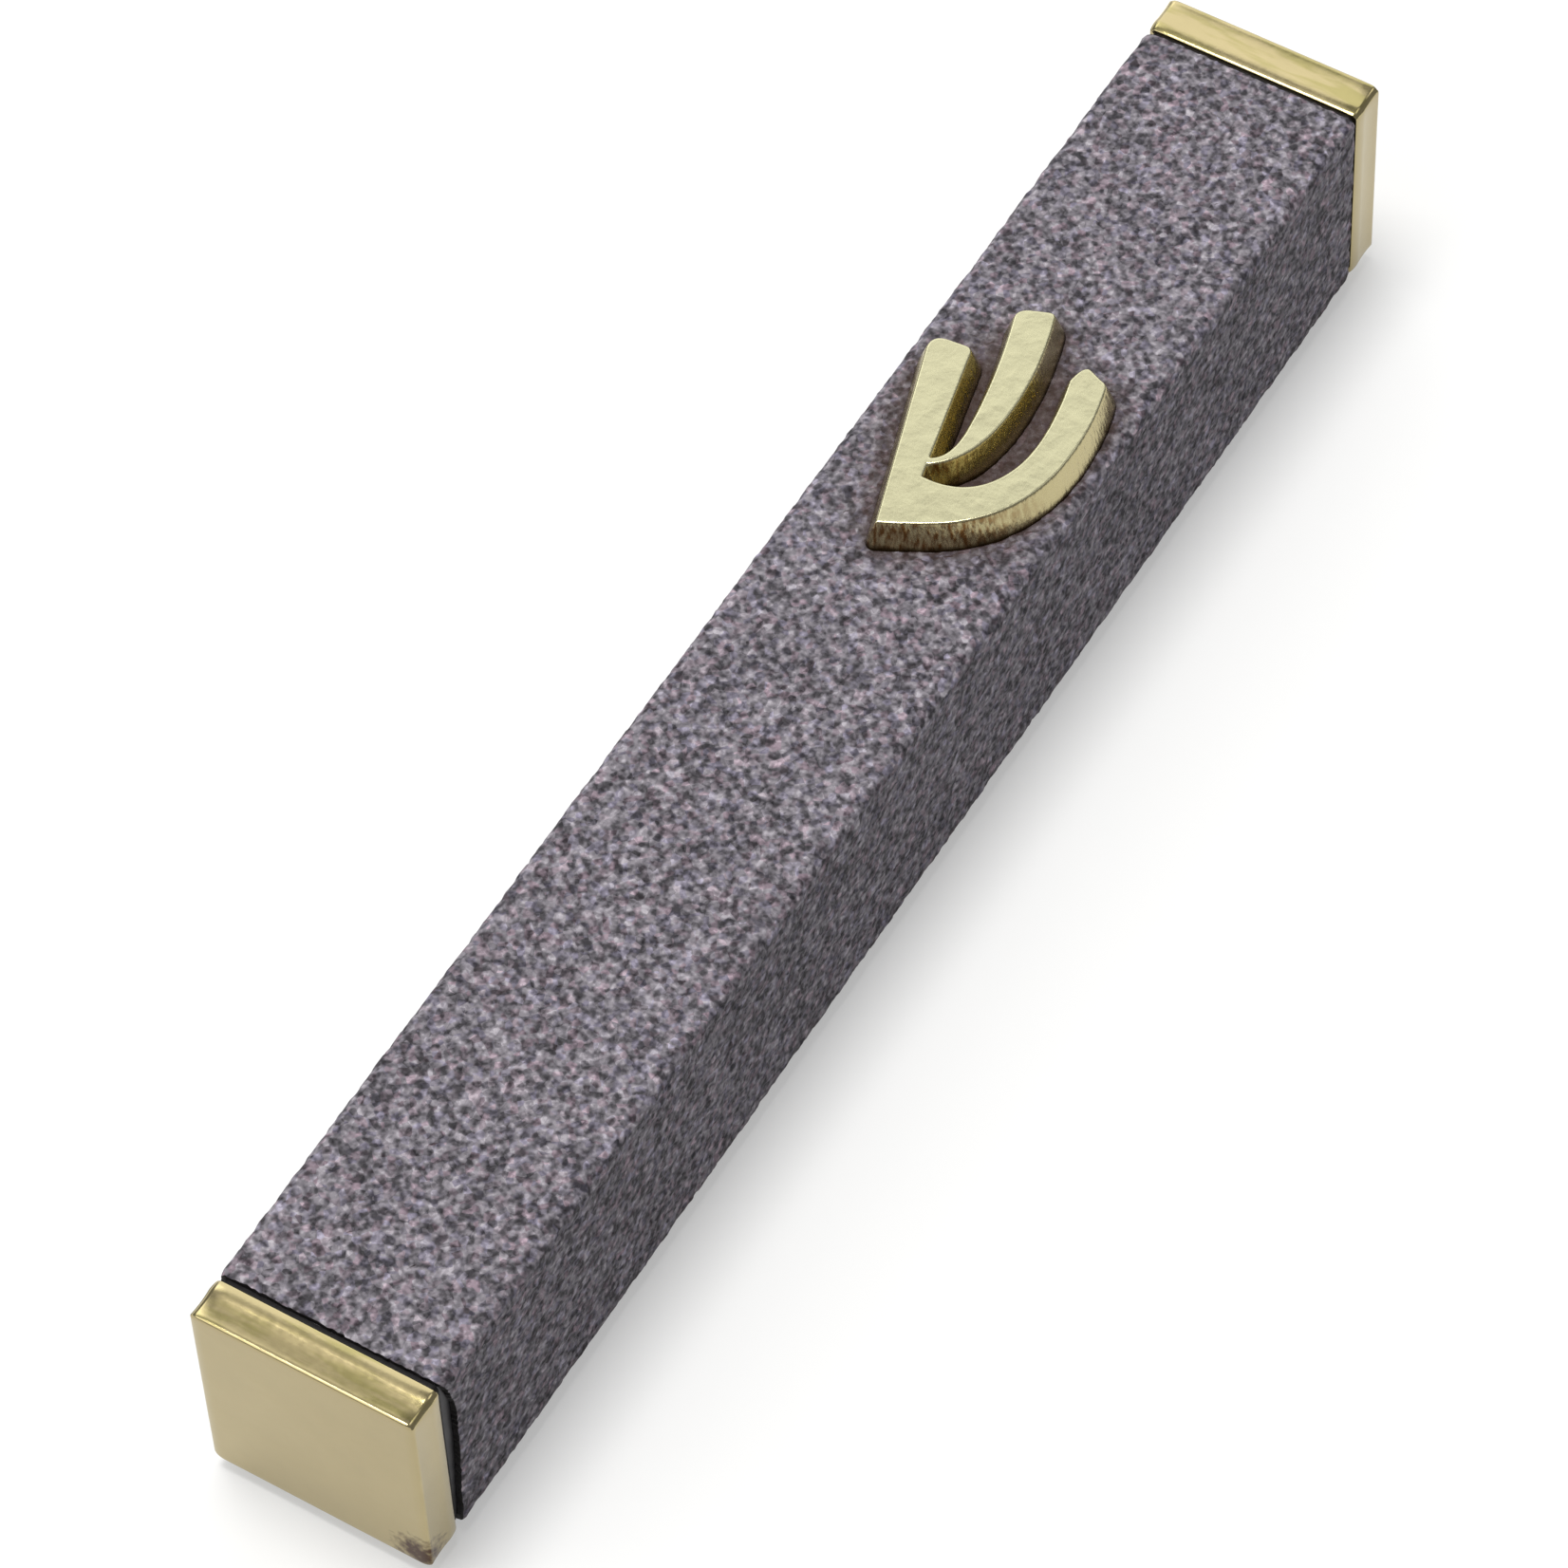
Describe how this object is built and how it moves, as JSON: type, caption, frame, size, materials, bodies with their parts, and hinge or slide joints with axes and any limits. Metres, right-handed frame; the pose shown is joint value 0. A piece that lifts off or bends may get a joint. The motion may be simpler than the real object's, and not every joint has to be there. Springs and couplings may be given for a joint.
{
  "type": "mezuzah case",
  "caption": "Slim square mezuzah case in a stone-grain skin, with gold end caps that pull off, a raised letter Shin, a slide-in back plate and a rolled parchment inside.",
  "frame": {"origin": "mid length and mid width of the case, on the surface that the two release liners rest on when the case lies on its back", "axes": "+Z out of the front face with the letter, +Y along the length towards the top end cap, +X to the right as the letter is read"},
  "size_m": [0.0162, 0.12, 0.0203],
  "materials": {
    "channel_metal": "black anodised extrusion, satin",
    "stone_skin": "coarse glittering grey-violet stone grain",
    "pale_gold": "polished pale gold plate",
    "plug_plastic": "black moulded plastic",
    "plate_plastic": "black extruded plastic, fine draw lines",
    "pad_foam": "white closed-cell mounting foam",
    "liner_paper": "waxed amber release paper",
    "parchment": "matt cream parchment, blank",
    "sleeve_film": "clear thin film"
  },
  "bodies": {
    "case": {"case_shell": "channel_metal", "stone_grain_skin": "stone_skin", "letter_shin": "pale_gold"},
    "bottom_cap": {"bottom_end_cap": "pale_gold", "bottom_cap_plug": "plug_plastic"},
    "top_cap": {"top_end_cap": "pale_gold", "top_cap_plug": "plug_plastic"},
    "back_plate": {"back_slide_plate": "plate_plastic", "top_adhesive_pad": "pad_foam", "bottom_adhesive_pad": "pad_foam", "top_release_liner": "liner_paper", "bottom_release_liner": "liner_paper"},
    "scroll": {"parchment_scroll": "parchment", "scroll_sleeve": "sleeve_film"}
  },
  "joints": [
    {"name": "bottom_cap_pull", "type": "slide", "parent": "case", "child": "bottom_cap", "axis": [0, -1, 0], "range_m": [0, 0.13]},
    {"name": "top_cap_pull", "type": "slide", "parent": "case", "child": "top_cap", "axis": [0, 1, 0], "range_m": [0, 0.03]},
    {"name": "back_plate_slide", "type": "slide", "parent": "case", "child": "back_plate", "axis": [0, -1, 0], "range_m": [0, 0.117]},
    {"name": "scroll_slide", "type": "slide", "parent": "case", "child": "scroll", "axis": [0, -1, 0], "range_m": [0, 0.112]}
  ],
  "couplings": [
    {"joint": "back_plate_slide", "follows": "bottom_cap_pull", "ratio": 0.9},
    {"joint": "scroll_slide", "follows": "bottom_cap_pull", "ratio": 0.86}
  ]
}
